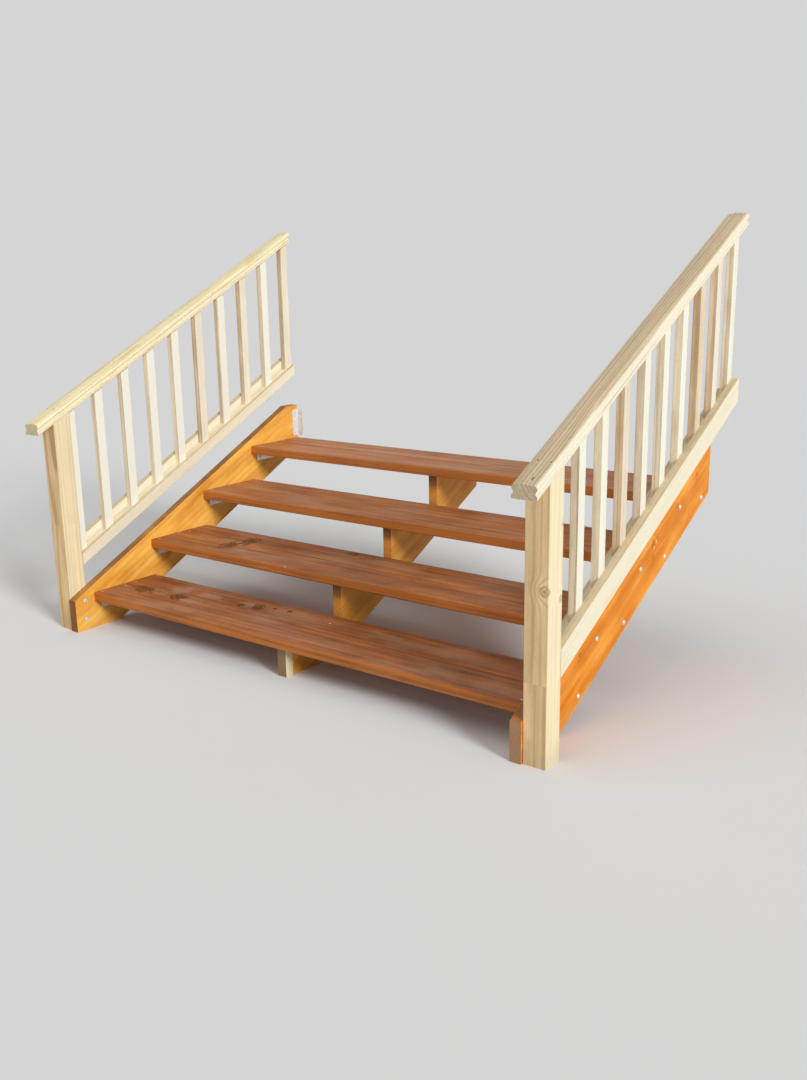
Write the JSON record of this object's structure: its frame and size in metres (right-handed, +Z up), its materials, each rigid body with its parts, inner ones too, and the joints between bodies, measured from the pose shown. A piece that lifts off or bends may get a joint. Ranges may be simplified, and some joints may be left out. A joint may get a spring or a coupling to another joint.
{
  "type": "wooden deck stairs",
  "caption": "Open-riser timber steps to a deck: double-board treads between raking stringers, a notched middle carriage and pine balustrades with moulded handrails.",
  "frame": {"origin": "middle of the upper end of the middle carriage, on the plane of the deck's face", "axes": "+X across the stair to the right as one climbs, +Y up the stair towards the deck, +Z up"},
  "size_m": [2.592, 1.659, 1.7989],
  "materials": {
    "tread_timber": "red-brown decking oil, weathered paler on top, orange on the fresh front edges",
    "stringer_timber": "amber-orange stained pine with knots and grain",
    "newel_pine": "bare laminated pine, tan, finger-jointed",
    "rail_pine": "bare moulded pine, yellowish",
    "baluster_pine": "bare dressed pine, pale",
    "galvanised_steel": "hot-dip galvanised, dull"
  },
  "bodies": {
    "root": {"stringer_left": "stringer_timber", "stringer_right": "stringer_timber", "carriage_centre": "stringer_timber", "carriage_stake": "newel_pine", "tread_1_front": "tread_timber", "tread_1_back": "tread_timber", "tread_2_front": "tread_timber", "tread_2_back": "tread_timber", "tread_3_front": "tread_timber", "tread_3_back": "tread_timber", "tread_4_front": "tread_timber", "tread_4_back": "tread_timber", "tread_brackets_left": "galvanised_steel", "tread_brackets_right": "galvanised_steel", "deck_bracket_left": "galvanised_steel", "deck_bracket_right": "galvanised_steel", "newel_left": "newel_pine", "newel_right": "newel_pine", "handrail_left": "rail_pine", "handrail_right": "rail_pine", "bottom_rail_left": "rail_pine", "bottom_rail_right": "rail_pine", "baluster_left_1": "baluster_pine", "baluster_left_2": "baluster_pine", "baluster_left_3": "baluster_pine", "baluster_left_4": "baluster_pine", "baluster_left_5": "baluster_pine", "baluster_left_6": "baluster_pine", "baluster_left_7": "baluster_pine", "baluster_left_8": "baluster_pine", "baluster_left_9": "baluster_pine", "baluster_left_10": "baluster_pine", "baluster_right_1": "baluster_pine", "baluster_right_2": "baluster_pine", "baluster_right_3": "baluster_pine", "baluster_right_4": "baluster_pine", "baluster_right_5": "baluster_pine", "baluster_right_6": "baluster_pine", "baluster_right_7": "baluster_pine", "baluster_right_8": "baluster_pine", "baluster_right_9": "baluster_pine", "baluster_right_10": "baluster_pine"}
  },
  "joints": []
}
